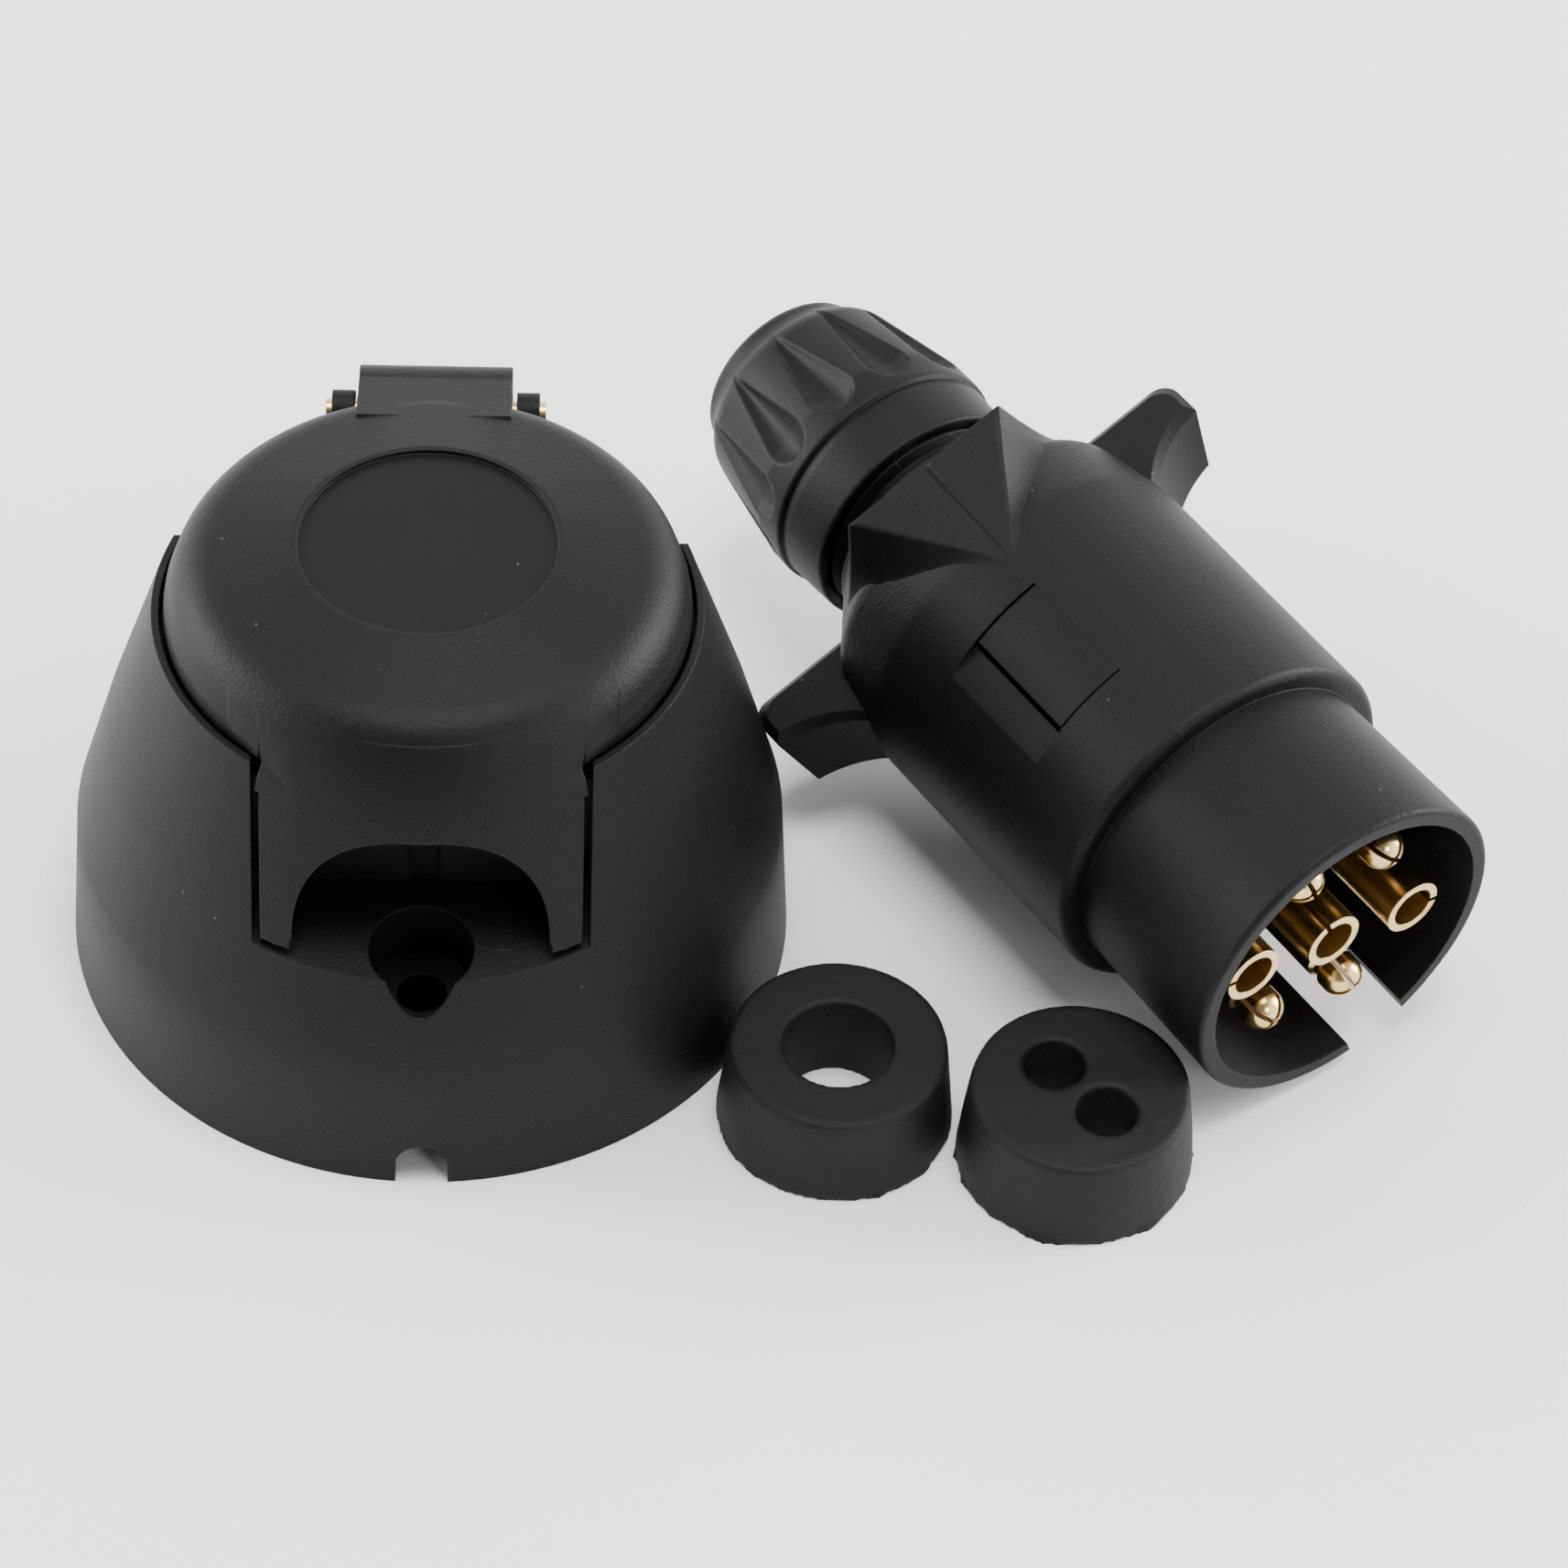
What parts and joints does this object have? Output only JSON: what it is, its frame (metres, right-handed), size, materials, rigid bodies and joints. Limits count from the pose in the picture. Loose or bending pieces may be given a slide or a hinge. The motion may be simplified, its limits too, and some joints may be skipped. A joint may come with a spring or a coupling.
{
  "type": "trailer wiring connector",
  "caption": "Round surface-mount trailer socket with a sprung hinged lid, its winged in-line plug with a screw gland, and two loose rubber cable seals.",
  "frame": {"origin": "centre of the socket's mounting face, in the plane the whole set stands on", "axes": "+Z out of the mounting face along the socket's axis, +Y towards the lid's hinge, +X to the socket's right"},
  "size_m": [0.1593, 0.12, 0.0594],
  "materials": {
    "shell_black": "fine textured black nylon",
    "insert_black": "moulded black",
    "contact_brass": "bright turned",
    "hinge_brass": "bright drawn",
    "screw_steel": "zinc plated",
    "spring_steel": "drawn wire",
    "seal_rubber": "dull moulded",
    "gasket_rubber": "dull moulded"
  },
  "bodies": {
    "socket": {"socket_housing": "shell_black", "socket_receptacle": "shell_black", "socket_insert": "insert_black", "socket_tube_1": "contact_brass", "socket_tube_2": "contact_brass", "socket_tube_3": "contact_brass", "socket_tube_4": "contact_brass", "socket_pin_1": "contact_brass", "socket_pin_2": "contact_brass", "socket_pin_3": "contact_brass", "socket_terminal_screws": "screw_steel", "insert_screws": "screw_steel", "hinge_pin": "hinge_brass", "lid_spring": "spring_steel"},
    "lid": {"lid": "shell_black", "lid_gasket": "gasket_rubber"},
    "plug": {"plug_shell_left": "shell_black", "plug_shell_right": "shell_black", "plug_insert": "insert_black", "plug_pin_1": "contact_brass", "plug_pin_2": "contact_brass", "plug_pin_3": "contact_brass", "plug_pin_4": "contact_brass", "plug_tube_1": "contact_brass", "plug_tube_2": "contact_brass", "plug_tube_3": "contact_brass", "plug_terminal_screws": "screw_steel"},
    "gland": {"gland_washer": "insert_black"},
    "nut": {"gland_nut": "shell_black"},
    "seal_single": {"cable_seal_single": "seal_rubber"},
    "seal_twin": {"cable_seal_twin": "seal_rubber"}
  },
  "joints": [
    {"name": "lid_hinge", "type": "hinge", "parent": "socket", "child": "lid", "pos_m": [0, 0.03, 0.0505], "axis": [-1, 0, 0], "range_deg": [0, 110], "stiffness_Nm_per_rad": 0.03, "springref_deg": -34.38},
    {"name": "plug_lift", "type": "slide", "parent": "socket", "child": "plug", "axis": [0, 0, 1], "range_m": [0, 0.12]},
    {"name": "nut_turn", "type": "hinge", "parent": "gland", "child": "nut", "pos_m": [0.04791, 0.05401, 0.02454], "axis": [-0.5683, 0.8222, 0.0314], "range_deg": [-345, 1086]},
    {"name": "gland_travel", "type": "slide", "parent": "plug", "child": "gland", "axis": [-0.5683, 0.8222, 0.0314], "range_m": [-0.00236, 0.0075]},
    {"name": "single_seal_lift", "type": "slide", "parent": "socket", "child": "seal_single", "axis": [0, 0, 1], "range_m": [0, 0.06]},
    {"name": "twin_seal_slide", "type": "slide", "parent": "socket", "child": "seal_twin", "axis": [0, -1, 0], "range_m": [0, 0.06]}
  ],
  "couplings": [
    {"joint": "nut_turn", "follows": "gland_travel", "rad_per_m": 2513.3}
  ]
}
